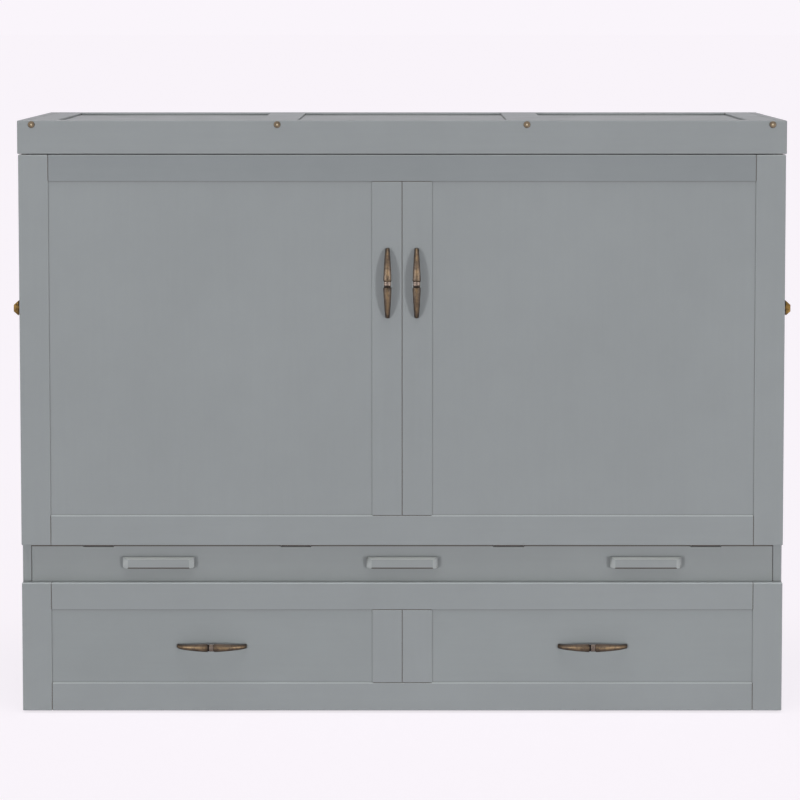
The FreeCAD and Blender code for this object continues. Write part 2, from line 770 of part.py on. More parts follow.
# The swinging arm: a boss on the pivot and a tapered grip that hoods the stud, open below.
def latch_arm_solid(side):
    start = half_width + latch_plate + rest_gap
    end = start + latch_arm
    crest = half_width + latch_reach
    swing = pivot_y - stud_y
    boss = rod(side * start, side * end, pivot_y, latch_z, boss_radius)
    half_arm = latch_arm_height / 2
    tall = (latch_z - half_arm, latch_z + half_arm)
    bar = block("side", (stud_y, pivot_y), tall, (side * start, side * end))
    outline = (
        (start, -grip_foot / 2),
        (start, grip_foot / 2),
        (crest, grip_crown / 2),
        (crest, -grip_crown / 2),
    )
    corners = [vector(side * x, stud_y - grip_front, latch_z + z) for x, z in outline]
    grip = Part.Face(Part.makePolygon(corners + corners[:1])).extrude(vector(0, grip_front + grip_back, 0))
    slot_half = stud_radius + stud_play
    cut_start = side * (start - overcut)
    cut_end = side * (stud_end + stud_play)
    ring = rod(cut_start, cut_end, pivot_y, latch_z, swing + slot_half)
    ring = ring.cut(rod(cut_start, cut_end, pivot_y, latch_z, swing - slot_half))
    near_stud = (stud_y - grip_base, stud_y + grip_base / 2)
    below = block("side", near_stud, (latch_z - grip_base, latch_z), (cut_start, cut_end))
    slot = ring.common(below).fuse(rod(cut_start, cut_end, stud_y, latch_z, slot_half))
    arm = boss.fuse([bar, grip]).cut(slot)
    bore_end = side * (end + overcut)
    return arm.cut(rod(cut_start, bore_end, pivot_y, latch_z, pivot_radius + running_gap))


# The stud on the panel's edge: a round flange and a short peg.
def latch_stud(side):
    flange = rod(side * half_width, side * (half_width + latch_plate), stud_y, latch_z, stud_flange)
    return flange.fuse(rod(side * half_width, side * stud_end, stud_y, latch_z, stud_radius))


def latches():
    save("latch_bases", [latch_base(side) for side in (-1, 1)])
    save("latch_studs", [latch_stud(side) for side in (-1, 1)])
    save("latch_arm_left", [latch_arm_solid(-1)])
    save("latch_arm_right", [latch_arm_solid(1)])


os.makedirs("parts", exist_ok=True)
carcass_side(-1, "left")
carcass_side(1, "right")
carcass_back()
head_deck()
deck_cleats()
glides_and_bumpers()
hinges()
lid()
double_front("panel", panel_bottom_z, panel_top_z, panel_bottom_rail, panel_top_rail)
panel_battens()
double_front("drawer", drawer_bottom_z, drawer_top_z, drawer_bottom_rail, drawer_top_rail)
bow_pulls()
band()
finger_pulls()
foot_box()
casters()
runners()
drawer_box()
latches()
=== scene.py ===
import math
import random

import bmesh
import bpy
from mathutils import Matrix, Vector


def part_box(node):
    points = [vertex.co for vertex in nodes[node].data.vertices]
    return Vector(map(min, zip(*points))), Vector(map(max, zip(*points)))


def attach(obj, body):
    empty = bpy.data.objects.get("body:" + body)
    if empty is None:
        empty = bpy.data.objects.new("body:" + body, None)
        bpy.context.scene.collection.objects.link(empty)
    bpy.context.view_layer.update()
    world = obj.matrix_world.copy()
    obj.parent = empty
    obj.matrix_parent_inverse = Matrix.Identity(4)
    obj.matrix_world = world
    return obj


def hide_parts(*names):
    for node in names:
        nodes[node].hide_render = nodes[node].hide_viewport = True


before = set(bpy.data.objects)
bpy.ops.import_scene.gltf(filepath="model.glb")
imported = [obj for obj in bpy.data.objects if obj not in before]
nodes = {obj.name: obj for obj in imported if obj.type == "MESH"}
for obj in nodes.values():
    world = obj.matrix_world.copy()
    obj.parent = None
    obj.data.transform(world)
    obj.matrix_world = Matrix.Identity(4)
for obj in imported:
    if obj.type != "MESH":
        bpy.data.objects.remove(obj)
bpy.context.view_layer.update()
print("frame loaded:", len(nodes), "nodes")

mm = 0.001


# A colour picked in a paint program, 0 to 255, as the linear colour that a socket takes.
def picked(red, green, blue):
    linear = []
    for level in (red, green, blue):
        share = level / 255
        linear.append(share / 12.92 if share < 0.0405 else ((share + 0.055) / 1.055) ** 2.4)
    return (*linear, 1.0)


def addNode(tree, kind, **settings):
    node = tree.nodes.new(kind)
    for name, value in settings.items():
        setattr(node, name, value)
    return node


# A socket is linked to the target input. A plain value is set on it.
def wire(tree, source, target):
    if isinstance(source, bpy.types.NodeSocket):
        tree.links.new(source, target)
    else:
        target.default_value = source


def sums(tree, operation, first, second, clamp=False):
    node = addNode(tree, "ShaderNodeMath", operation=operation, use_clamp=clamp)
    wire(tree, first, node.inputs[0])
    wire(tree, second, node.inputs[1])
    return node.outputs[0]


# The sum of some values, each multiplied by its weight.
def weighted(tree, values, weights):
    parts = [sums(tree, "MULTIPLY", value, weight) for value, weight in zip(values, weights)]
    total = parts[0]
    for part in parts[1:]:
        total = sums(tree, "ADD", total, part)
    return total


def spread(tree, value, fromLow, fromHigh, toLow, toHigh):
    node = addNode(tree, "ShaderNodeMapRange", clamp=True)
    for socket, item in zip(node.inputs, (value, fromLow, fromHigh, toLow, toHigh)):
        wire(tree, item, socket)
    return node.outputs[0]


def blendColour(tree, factor, first, second):
    node = addNode(tree, "ShaderNodeMix", data_type="RGBA")
    wire(tree, factor, node.inputs["Factor"])
    wire(tree, first, node.inputs[6])
    wire(tree, second, node.inputs[7])
    return node.outputs[2]


def cloud(tree, vector, scale, detail=3.0, rough=0.5):
    node = addNode(tree, "ShaderNodeTexNoise")
    wire(tree, vector, node.inputs["Vector"])
    wire(tree, scale, node.inputs["Scale"])
    node.inputs["Detail"].default_value = detail
    node.inputs["Roughness"].default_value = rough
    return node.outputs["Fac"]


def stretched(tree, vector, scale):
    node = addNode(tree, "ShaderNodeVectorMath", operation="MULTIPLY")
    wire(tree, vector, node.inputs[0])
    wire(tree, scale, node.inputs[1])
    return node.outputs[0]


def scaled(tree, vector, scale):
    node = addNode(tree, "ShaderNodeVectorMath", operation="SCALE")
    wire(tree, vector, node.inputs[0])
    wire(tree, scale, node.inputs["Scale"])
    return node.outputs[0]


def separated(tree, vector):
    node = addNode(tree, "ShaderNodeSeparateXYZ")
    wire(tree, vector, node.inputs[0])
    return node.outputs


def objectPlace(tree):
    return addNode(tree, "ShaderNodeTexCoord").outputs["Object"]


def newGroup(name, inputs, outputs):
    tree = bpy.data.node_groups.new(name, "ShaderNodeTree")
    for label, kind, value in inputs:
        socket = tree.interface.new_socket(name=label, in_out="INPUT", socket_type="NodeSocket" + kind)
        socket.default_value = value
    for label, kind in outputs:
        tree.interface.new_socket(name=label, in_out="OUTPUT", socket_type="NodeSocket" + kind)
    ins = addNode(tree, "NodeGroupInput").outputs
    outs = addNode(tree, "NodeGroupOutput").inputs
    return tree, ins, outs


def useGroup(tree, group, **values):
    node = addNode(tree, "ShaderNodeGroup", node_tree=group)
    for label, value in values.items():
        wire(tree, value, node.inputs[label])
    return node.outputs


# Squareness is 1 on a face that looks along an axis and lower on a bevel. Closeness is 0 in the open
# and 1 deep in a corner. Each pair is where an effect starts and where it is full, or the other way.
seamLook = {
    "bevelSquareness": (0.72, 0.9),
    "seamCloseness": (0.2, 0.36),
    "openCloseness": (0.16, 0.26),
    "cornerCloseness": (0.1, 0.6),
    "lookingUp": (-0.3, 0.6),
}


# Mask is how far a spot lies in a seam or a corner, where a dark joint colour and painted shade go.
# Arris is how far it lies on an open arris that doesn't look down, where a painted highlight goes.
def makeSeamGroup():
    tree, ins, outs = newGroup(
        "seams",
        [
            ("Reach", "Float", 4 * mm),
            ("Seam", "Float", 1.0),
            ("Corner", "Float", 0.3),
        ],
        [("Mask", "Float"), ("Arris", "Float")],
    )
    shade = addNode(tree, "ShaderNodeAmbientOcclusion", samples=8, only_local=False)
    wire(tree, ins["Reach"], shade.inputs["Distance"])
    closed = sums(tree, "SUBTRACT", 1.0, shade.outputs["AO"], clamp=True)
    normal = addNode(tree, "ShaderNodeNewGeometry").outputs["True Normal"]
    facing = addNode(tree, "ShaderNodeVectorMath", operation="ABSOLUTE")
    wire(tree, normal, facing.inputs[0])
    alongX, alongY, alongZ = separated(tree, facing.outputs[0])
    squarest = sums(tree, "MAXIMUM", sums(tree, "MAXIMUM", alongX, alongY), alongZ)
    slanted = spread(tree, squarest, *seamLook["bevelSquareness"], 1.0, 0.0)
    # Painted highlight: only open arrises that face up are lifted lighter.
    upward = spread(tree, separated(tree, normal)[2], *seamLook["lookingUp"], 0.0, 1.0)
    clear = spread(tree, closed, *seamLook["openCloseness"], 1.0, 0.0)
    wire(tree, sums(tree, "MULTIPLY", sums(tree, "MULTIPLY", slanted, upward), clear), outs["Arris"])
    # Painted shade: seams and corners darken by how closed in they are.
    inSeam = spread(tree, closed, *seamLook["seamCloseness"], 0.0, 1.0)
    inCorner = spread(tree, closed, *seamLook["cornerCloseness"], 0.0, 1.0)
    seam = sums(tree, "MULTIPLY", sums(tree, "MULTIPLY", slanted, inSeam), ins["Seam"])
    corner = sums(tree, "MULTIPLY", inCorner, ins["Corner"])
    wire(tree, sums(tree, "MAXIMUM", seam, corner, clamp=True), outs["Mask"])
    return tree


# Noise scales per metre, how much each noise counts, and the roughness of the smooth and the rough spots.
paintLook = {
    "broadScale": 2.3,
    "smallScale": 17.0,
    "speckScale": 260.0,
    "sprayScale": 1400.0,
    "toneWeights": (0.5, 0.3, 0.2),
    "toneSpan": (0.38, 0.62),
    "speckSheen": 0.3,
    "sheenSpan": (0.4, 0.9),
    "roughness": (0.4, 0.55),
    "seamRoughness": 0.3,
    "heightWeights": (0.55, 0.2, 0.25),
    "bump": {"strength": 0.12, "distance": 0.6 * mm},
    "specular": 0.35,
}


# Sprayed satin paint on wood: soft patches, a trace of the grain, fine spray texture, dark seams with
# painted shade in seams and corners, and a painted highlight on open arrises that face up.
def makePaintGroup(seams):
    tree, ins, outs = newGroup(
        "sprayedPaint",
        [
            ("Paint", "Color", picked(146, 150, 153)),
            ("Seam and shade colour", "Color", picked(84, 74, 68)),
            ("Grain", "Vector", (90.0, 90.0, 5.0)),
            ("Patches", "Float", 0.03),
            ("Seam", "Float", 0.9),
            ("Corner", "Float", 0.5),
            ("Arris light", "Float", 0.9),
        ],
        [("Color", "Color"), ("Roughness", "Float"), ("Height", "Float")],
    )
    where = objectPlace(tree)
    broad = cloud(tree, where, paintLook["broadScale"], detail=2.0)
    small = cloud(tree, where, paintLook["smallScale"], detail=4.0, rough=0.6)
    grain = cloud(tree, stretched(tree, where, ins["Grain"]), 1.0, detail=5.0, rough=0.6)
    spray = cloud(tree, where, paintLook["sprayScale"], detail=2.0)
    speck = cloud(tree, where, paintLook["speckScale"])
    mixed = weighted(tree, (broad, small, grain), paintLook["toneWeights"])
    low = sums(tree, "SUBTRACT", 1.0, ins["Patches"])
    high = sums(tree, "ADD", 1.0, ins["Patches"])
    toned = scaled(tree, ins["Paint"], spread(tree, mixed, *paintLook["toneSpan"], low, high))
    spots = useGroup(tree, seams, Seam=ins["Seam"], Corner=ins["Corner"])
    # Painted highlight on open arrises.
    light = sums(tree, "MULTIPLY", spots["Arris"], ins["Arris light"])
    lifted = scaled(tree, toned, sums(tree, "ADD", light, 1.0))
    wire(tree, blendColour(tree, spots["Mask"], lifted, ins["Seam and shade colour"]), outs["Color"])
    specked = sums(tree, "ADD", small, sums(tree, "MULTIPLY", speck, paintLook["speckSheen"]))
    sheen = spread(tree, specked, *paintLook["sheenSpan"], *paintLook["roughness"])
    seamSheen = sums(tree, "MULTIPLY", spots["Mask"], paintLook["seamRoughness"])
    wire(tree, sums(tree, "ADD", sheen, seamSheen, clamp=True), outs["Roughness"])
    wire(tree, weighted(tree, (grain, spray, speck), paintLook["heightWeights"]), outs["Height"])
    return tree


# Scales per metre across and along the grain, and how much the bands, the fibres and the boards count.
woodLook = {
    "grain": (38.0, 1.6),
    "fibres": (900.0, 12.0),
    "boards": (9.0, 0.0),
    "bendScale": 0.6,
    "bend": (3.0, 3.0, 3.0),
    "bandScale": 0.9,
    "bandDistortion": 2.2,
    "bandDetail": 2.0,
    "toneWeights": (0.42, 0.3),
    "boardTone": (-0.12, 0.22),
    "noiseSpan": (0.3, 0.7),
    "roughness": (0.52, 0.68),
    "heightWeights": (0.6, 0.4),
    "seam": {"Reach": 12 * mm, "Seam": 0.6, "Corner": 0.45},
    "seamAndShadeColour": (96, 66, 40),
    "bump": {"strength": 0.2, "distance": 0.5 * mm},
    "specular": 0.3,
}


# Softwood: wavy growth bands along the grain, fine fibres, a different tone for each board, and painted
# shade that darkens seams and corners towards brown.
def makeWoodGroup(seams):
    tree, ins, outs = newGroup(
        "sawnWood",
        [
            ("Pale", "Color", picked(222, 186, 138)),
            ("Dark", "Color", picked(184, 136, 86)),
            ("Grain", "Vector", (38.0, 38.0, 1.6)),
            ("Fibres", "Vector", (900.0, 900.0, 12.0)),
            ("Boards", "Vector", (9.0, 9.0, 0.0)),
        ],
        [("Color", "Color"), ("Roughness", "Float"), ("Height", "Float")],
    )
    where = objectPlace(tree)
    along = stretched(tree, where, ins["Grain"])
    bent = scaled(tree, woodLook["bend"], cloud(tree, along, woodLook["bendScale"]))
    shifted = addNode(tree, "ShaderNodeVectorMath", operation="ADD")
    wire(tree, along, shifted.inputs[0])
    wire(tree, bent, shifted.inputs[1])
    rings = addNode(tree, "ShaderNodeTexWave", wave_type="RINGS", rings_direction="SPHERICAL")
    wire(tree, shifted.outputs[0], rings.inputs["Vector"])
    rings.inputs["Scale"].default_value = woodLook["bandScale"]
    rings.inputs["Distortion"].default_value = woodLook["bandDistortion"]
    rings.inputs["Detail"].default_value = woodLook["bandDetail"]
    bands = rings.outputs["Fac"]
    fibres = cloud(tree, stretched(tree, where, ins["Fibres"]), 1.0, rough=0.6)
    boards = cloud(tree, stretched(tree, where, ins["Boards"]), 1.0, detail=0.0)
    boardTone = spread(tree, boards, *woodLook["noiseSpan"], *woodLook["boardTone"])
    grown = weighted(tree, (bands, fibres), woodLook["toneWeights"])
    amount = sums(tree, "ADD", grown, boardTone, clamp=True)
    colour = blendColour(tree, amount, ins["Pale"], ins["Dark"])
    # Painted shade: seams and corners darken towards brown by how closed in they are.
    mask = useGroup(tree, seams, **woodLook["seam"])["Mask"]
    wire(tree, blendColour(tree, mask, colour, picked(*woodLook["seamAndShadeColour"])), outs["Color"])
    wire(tree, spread(tree, fibres, *woodLook["noiseSpan"], *woodLook["roughness"]), outs["Roughness"])
    wire(tree, weighted(tree, (fibres, bands), woodLook["heightWeights"]), outs["Height"])
    return tree


# How much the clouds, the streaks and the fine noise count in the rubbing, and where it starts and is full.
metalLook = {
    "fineScale": 1600.0,
    "rubWeights": (0.5, 0.5, 0.35),
    "rubSpan": (0.5, 0.78),
    "dullSpan": (0.28, 0.5),
    "dull": 0.55,
    "fineSpan": (0.3, 0.7),
    "roughness": (0.34, 0.5),
    "heightWeights": (0.6, 0.4),
    "seam": {"Reach": 3 * mm, "Seam": 0.8, "Corner": 0.9},
    "bumpDistance": 0.4 * mm,
}


# Cast or plated metal: cloudy tone, dark hollows and rubbed high spots.
def makeMetalGroup(seams):
    tree, ins, outs = newGroup(
        "wornMetal",
        [
            ("Metal", "Color", picked(120, 100, 80)),
            ("Hollow", "Color", picked(45, 35, 28)),
            ("Rubbed", "Color", picked(190, 150, 100)),
            ("Clouds", "Float", 160.0),
            ("Rubbing", "Float", 0.5),
            ("Patina and shade", "Float", 0.0),
            ("Streaks", "Float", 0.5),
        ],
        [("Color", "Color"), ("Roughness", "Float"), ("Height", "Float")],
    )
    where = objectPlace(tree)
    broad = cloud(tree, where, ins["Clouds"], detail=4.0, rough=0.62)
    fine = cloud(tree, where, metalLook["fineScale"], rough=0.7)
    mottle = weighted(tree, (broad, ins["Streaks"], fine), metalLook["rubWeights"])
    rub = spread(tree, mottle, *metalLook["rubSpan"], 0.0, ins["Rubbing"])
    colour = blendColour(tree, rub, ins["Metal"], ins["Rubbed"])
    # Dark patina in hollows together with painted shade, where a piece's attribute gives it.
    colour = blendColour(tree, ins["Patina and shade"], colour, ins["Hollow"])
    dull = spread(tree, broad, *metalLook["dullSpan"], metalLook["dull"], 0.0)
    colour = blendColour(tree, dull, colour, ins["Hollow"])
    mask = useGroup(tree, seams, **metalLook["seam"])["Mask"]
    wire(tree, blendColour(tree, mask, colour, ins["Hollow"]), outs["Color"])
    wire(tree, spread(tree, fine, *metalLook["fineSpan"], *metalLook["roughness"]), outs["Roughness"])
    wire(tree, weighted(tree, (broad, fine), metalLook["heightWeights"]), outs["Height"])
    return tree


seamGroup = makeSeamGroup()
paintGroup = makePaintGroup(seamGroup)
woodGroup = makeWoodGroup(seamGroup)
metalGroup = makeMetalGroup(seamGroup)


# A material on the Principled shader from a group's colour, roughness and height.
def surfaceFrom(name, group, bump, values, constants):
    material = bpy.data.materials.new(name)
    material.use_nodes = True
    tree = material.node_tree
    shader = tree.nodes["Principled BSDF"]
    made = useGroup(tree, group, **values)
    wire(tree, made["Color"], shader.inputs["Base Color"])
    wire(tree, made["Roughness"], shader.inputs["Roughness"])
    relief = addNode(tree, "ShaderNodeBump")
    relief.inputs["Strength"].default_value = bump["strength"]
    relief.inputs["Distance"].default_value = bump["distance"]
    wire(tree, made["Height"], relief.inputs["Height"])
    wire(tree, relief.outputs[0], shader.inputs["Normal"])
    for label, value in constants.items():
        shader.inputs[label].default_value = value
    return material


greyPaint = {
    "colour": (142.8, 148, 149.3),
    "bandColour": (144, 149, 149.5),
    "drawerColour": (141.5, 147, 148),
    "headColour": (134, 139.5, 141.5),
    # Painted highlights for the finger pulls' bevels, the top bevel brightest.
    "bevelHighlightColour": (158, 163, 163),
    "topBevelHighlightColour": (184, 188, 186),
    # The seam colour is a dark joint colour that also carries painted shade in seams and corners.
    "seam": (84, 73, 65),
    # Painted shade for the band's top edge and the finger pulls' undersides, with its depths and fades
    # further down.
    "paintedShadeColour": (76, 68, 62),
    "grain": (90.0, 5.0),
    "patches": 0.03,
    "smoothPatches": 0.015,
    "rubberPatches": 0.06,
    "bandShadeDepth": 5.0 * mm,
    "bandShadeFade": 0.6 * mm,
    "fingerShadeHeight": 2.0 * mm,
    "fingerShadeFade": 1.2 * mm,
}


# A stretch of the noise: one scale across the grain and another along the axis that it runs on.
def grainScale(axis, across, along):
    scale = [across, across, across]
    scale["XYZ".index(axis)] = along
    return tuple(scale)


def paintMaterial(name, axis, colour, patches=greyPaint["patches"], arrisLight=0.9, **edges):
    values = {
        **edges,
        "Arris light": arrisLight,
        "Paint": picked(*colour),
        "Seam and shade colour": picked(*greyPaint["seam"]),
        "Grain": grainScale(axis, *greyPaint["grain"]),
        "Patches": patches,
    }
    constants = {"Specular IOR Level": paintLook["specular"]}
    return surfaceFrom(name, paintGroup, paintLook["bump"], values, constants)


def woodMaterial(name, axis, pale, dark):
    values = {
        "Pale": picked(*pale),
        "Dark": picked(*dark),
        "Grain": grainScale(axis, *woodLook["grain"]),
        "Fibres": grainScale(axis, *woodLook["fibres"]),
        "Boards": grainScale(axis, *woodLook["boards"]),
    }
    constants = {"Specular IOR Level": woodLook["specular"]}
    return surfaceFrom(name, woodGroup, woodLook["bump"], values, constants)


def metalMaterial(name, metal, hollow, rubbed, clouds, rubbing, shine=1.0, bump=0.15):
    values = {
        "Metal": picked(*metal),
        "Hollow": picked(*hollow),
        "Rubbed": picked(*rubbed),
        "Clouds": clouds,
        "Rubbing": rubbing,
    }
    relief = {"strength": bump, "distance": metalLook["bumpDistance"]}
    return surfaceFrom(name, metalGroup, relief, values, {"Metallic": shine})


uprightPaint = paintMaterial("greyPaintUpright", "Z", greyPaint["colour"])
levelPaint = paintMaterial("greyPaintLevel", "X", greyPaint["colour"], arrisLight=0.1, Seam=0.4)
deepPaint = paintMaterial("greyPaintDeep", "Y", greyPaint["colour"], arrisLight=0.1)
bandPaint = paintMaterial("greyPaintBand", "X", greyPaint["bandColour"], Corner=0.12, Seam=0.2)
fingerPaint = paintMaterial("greyPaintFingers", "X", greyPaint["bandColour"], Seam=0.0)
# Painted highlights for the finger pulls' bevels.
bevelHighlightPaint = paintMaterial("greyPaintBevelHighlight", "X", greyPaint["bevelHighlightColour"], arrisLight=0.0, Seam=0.0)
topBevelHighlightPaint = paintMaterial("greyPaintTopBevelHighlight", "X", greyPaint["topBevelHighlightColour"], arrisLight=0.0, Seam=0.0)
railPaint = paintMaterial("greyPaintRails", "X", greyPaint["colour"])
hingePaint = paintMaterial("greyPaintHinges", "X", greyPaint["bandColour"], arrisLight=0.0)
drawerPaint = paintMaterial("greyPaintDrawer", "X", greyPaint["drawerColour"])
nylon = paintMaterial("nylon", "Z", (226, 224, 218), greyPaint["smoothPatches"])
tyreRubber = paintMaterial("tyreRubber", "X", (74, 76, 78), greyPaint["rubberPatches"])

pine = {"pale": (226, 194, 150), "dark": (190, 145, 98)}
pineLevel = woodMaterial("pineLevel", "X", **pine)
pineDeep = woodMaterial("pineDeep", "Y", **pine)
pineUpright = woodMaterial("pineUpright", "Z", **pine)
backPly = woodMaterial("backPly", "X", pale=(214, 184, 146), dark=(188, 152, 112))

bronze = metalMaterial(
    "antiqueBronze", metal=(80, 71, 63), hollow=(34, 29, 26), rubbed=(142, 120, 90),
    clouds=110.0, rubbing=0.2, bump=0.25,
)
collarBronze = metalMaterial(
    "collarBronze", metal=(100, 90, 82), hollow=(46, 39, 34), rubbed=(122, 110, 100),
    clouds=240.0, rubbing=0.4,
)
darkBronze = metalMaterial(
    "darkBronze", metal=(84, 65, 44), hollow=(34, 27, 22), rubbed=(146, 118, 62),
    clouds=180.0, rubbing=0.7,
)
boltBronze = metalMaterial(
    "boltBronze", metal=(102, 91, 77), hollow=(46, 39, 34), rubbed=(132, 118, 96),
    clouds=300.0, rubbing=0.6,
)
boltSocket = metalMaterial(
    "boltSocket", metal=(204, 187, 156), hollow=(160, 142, 112), rubbed=(224, 208, 176),
    clouds=300.0, rubbing=0.6, shine=0.2,
)
zincSteel = metalMaterial(
    "zincSteel", metal=(176, 178, 180), hollow=(120, 122, 124), rubbed=(206, 207, 208),
    clouds=90.0, rubbing=0.4, bump=0.08,
)


def groupIn(material):
    return next(node for node in material.node_tree.nodes if node.bl_idname == "ShaderNodeGroup")


# How far the crest wears and takes a painted highlight, in what patches, and how its streaks stretch along
# the bow.
crestWearAndHighlight = {
    "patchScale": 60.0,
    "patchSpan": (0.35, 0.62),
    "leastWearAndHighlight": 0.35,
    "wearAndHighlightSpan": (0.05, 0.8),
    "mostWearAndHighlight": 0.95,
    "streakScale": (40.0, 1100.0, 1.0),
}


# The crest of each leaf is rubbed bright in lengthwise streaks, as wear and as a painted highlight. Its
# edges stay dark, and its neck is dark with patina in the grooves and painted shade beside them.
def rubAndLightCrests(material):
    tree = material.node_tree
    group = groupIn(material)
    crest = addNode(tree, "ShaderNodeAttribute", attribute_name="crest").outputs["Fac"]
    patches = cloud(tree, objectPlace(tree), crestWearAndHighlight["patchScale"], rough=0.6)
    wornAndLit = spread(tree, patches, *crestWearAndHighlight["patchSpan"], crestWearAndHighlight["leastWearAndHighlight"], 1.0)
    wornAndLitCrest = sums(tree, "MULTIPLY", crest, wornAndLit)
    # Rubbed wear that also serves as a painted highlight along each crest.
    rubbing = spread(tree, wornAndLitCrest, *crestWearAndHighlight["wearAndHighlightSpan"], 0.0, crestWearAndHighlight["mostWearAndHighlight"])
    wire(tree, rubbing, group.inputs["Rubbing"])
    patinaAndShade = addNode(tree, "ShaderNodeAttribute", attribute_name="patinaAndShade").outputs["Fac"]
    wire(tree, patinaAndShade, group.inputs["Patina and shade"])
    lay = addNode(tree, "ShaderNodeAttribute", attribute_name="lay").outputs["Vector"]
    streaks = cloud(tree, stretched(tree, lay, crestWearAndHighlight["streakScale"]), 1.0, rough=0.6)
    wire(tree, streaks, group.inputs["Streaks"])


# The paint goes over to another colour as the height passes from one value to another.
def changeWithHeight(material, fromHeight, toHeight, colour, nextColour):
    tree = material.node_tree
    share = spread(tree, separated(tree, objectPlace(tree))[2], fromHeight, toHeight, 0.0, 1.0)
    blended = blendColour(tree, share, picked(*greyPaint[colour]), picked(*greyPaint[nextColour]))
    wire(tree, blended, groupIn(material).inputs["Paint"])


# The panel's top rail is a little darker. The band's top edge and the hinge leaves' tops, just under the
# panel's bottom edge, and the underside of the finger pulls are darkened with painted shade.
def toneRailAndPaintShade():
    low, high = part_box("panel_rails")
    changeWithHeight(railPaint, (low.z + high.z) / 2, high.z, "colour", "headColour")
    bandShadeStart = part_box("band_rail")[1].z - greyPaint["bandShadeDepth"]
    for paint in (bandPaint, hingePaint):
        changeWithHeight(paint, bandShadeStart, bandShadeStart + greyPaint["bandShadeFade"], "bandColour", "paintedShadeColour")
    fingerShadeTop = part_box("finger_pulls")[0].z + greyPaint["fingerShadeHeight"]
    changeWithHeight(fingerPaint, fingerShadeTop, fingerShadeTop + greyPaint["fingerShadeFade"], "paintedShadeColour", "bandColour")


rubAndLightCrests(bronze)
toneRailAndPaintShade()
print("finishes made:", len(bpy.data.materials))

finishOfNode = {
    uprightPaint: ("panel_outer_stiles", "panel_centre_stiles", "drawer_outer_stiles",
                   "drawer_centre_stiles", "panel_infill", "side_frame_left", "side_frame_right",
                   "side_infill_left", "side_infill_right", "back_frame"),
    levelPaint: ("lid_front_board", "lid_back_board", "lid_rails"),
    railPaint: ("panel_rails", "drawer_rails"),
    hingePaint: ("panel_hinge_fixed_leaves", "panel_hinge_moving_leaves"),
    deepPaint: ("lid_side_skirts", "lid_end_stiles", "lid_crossbars", "lid_infill"),
    bandPaint: ("band_rail",),
    fingerPaint: ("finger_pulls",),
    drawerPaint: ("drawer_infill",),
    backPly: ("back_infill", "drawer_bottom"),
    pineLevel: ("deck_front_rail", "foot_back_rail", "foot_ledger", "foot_bearers", "drawer_box_ends"),
    pineDeep: ("deck_slats", "deck_cleats", "foot_sides", "foot_slats", "drawer_sides",
               "drawer_bottom_bearer"),
    pineUpright: ("panel_battens",),
    zincSteel: ("lid_hinge_fixed_leaves", "lid_hinge_moving_leaves", "hinge_pins", "caster_forks",
                "caster_axles", "runner_channels", "runner_sliders"),
    boltBronze: ("lid_bolts",),
    darkBronze: ("latch_bases", "latch_studs", "latch_arm_left", "latch_arm_right"),
    bronze: ("panel_pull_left", "panel_pull_right", "drawer_pull_left", "drawer_pull_right"),
    nylon: ("floor_glides", "lid_bumpers"),
    tyreRubber: ("wheel_front_left", "wheel_front_right", "wheel_back_left", "wheel_back_right"),
}
for finish, names in finishOfNode.items():
    for name in names:
        if len(nodes[name].material_slots) == 0:
            nodes[name].data.materials.append(finish)
        for holder in nodes[name].material_slots:
            holder.material = finish
dressed = {name for names in finishOfNode.values() for name in names}
print("nodes without a finish:", sorted(set(nodes) - dressed))


def linked(name, data):
    piece = bpy.data.objects.new(name, data)
    bpy.context.scene.collection.objects.link(piece)
    return piece


def meshFrom(name, shape):
    mesh = bpy.data.meshes.new(name)
    shape.to_mesh(mesh)
    shape.free()
    return mesh


def makePiece(name, shape, body, finishes):
    bmesh.ops.remove_doubles(shape, verts=shape.verts, dist=0.001 * mm)
    mesh = meshFrom(name, shape)
    for finish in finishes:
        mesh.materials.append(finish)
    piece = linked(name, mesh)
    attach(piece, body)
    return piece


# Bevel and smooth shading for a machined piece, both left live. The angle is in degrees.
def softenEdges(piece, width, segments=2, angle=30):
    edge = piece.modifiers.new("softEdges", "BEVEL")
    edge.width = width
    edge.segments = segments
    edge.limit_method = "ANGLE"
    edge.angle_limit = math.radians(angle)
    edge.harden_normals = True
    for face in piece.data.polygons:
        face.use_smooth = True


# Lengths of the bow pull, and shares of its full width or thickness. A face with capCorners corners or
# more is a flat end.
bowPull = {
    "ringPoints": 32,
    "capCorners": 8,
    "stations": 160,
    "thickness": 7.2 * mm,
    "endWidth": 9.6 * mm,
    "endCut": 1.6 * mm,
    "taper": 1.3,
    "ridge": 0.24,
    "backDepth": 0.72,
    "collarHalf": 4.1 * mm,
    "collarFlare": 0.1,
    "collarWidth": 0.86,
    "collarThickness": 0.88,
    "shortGroove": 5.6 * mm,
    "longGroove": 7.4 * mm,
    "grooveWidth": 0.82,
    "grooveDepth": 0.76,
    "shoulder": 1.0 * mm,
    "shoulderWidth": 0.88,
    "shoulderThickness": 0.84,
    "crestFade": 1.5,
    "neckShadeReach": 12.0 * mm,
    "longNeckShade": 0.6,
    "shortNeckShade": 0.3,
}


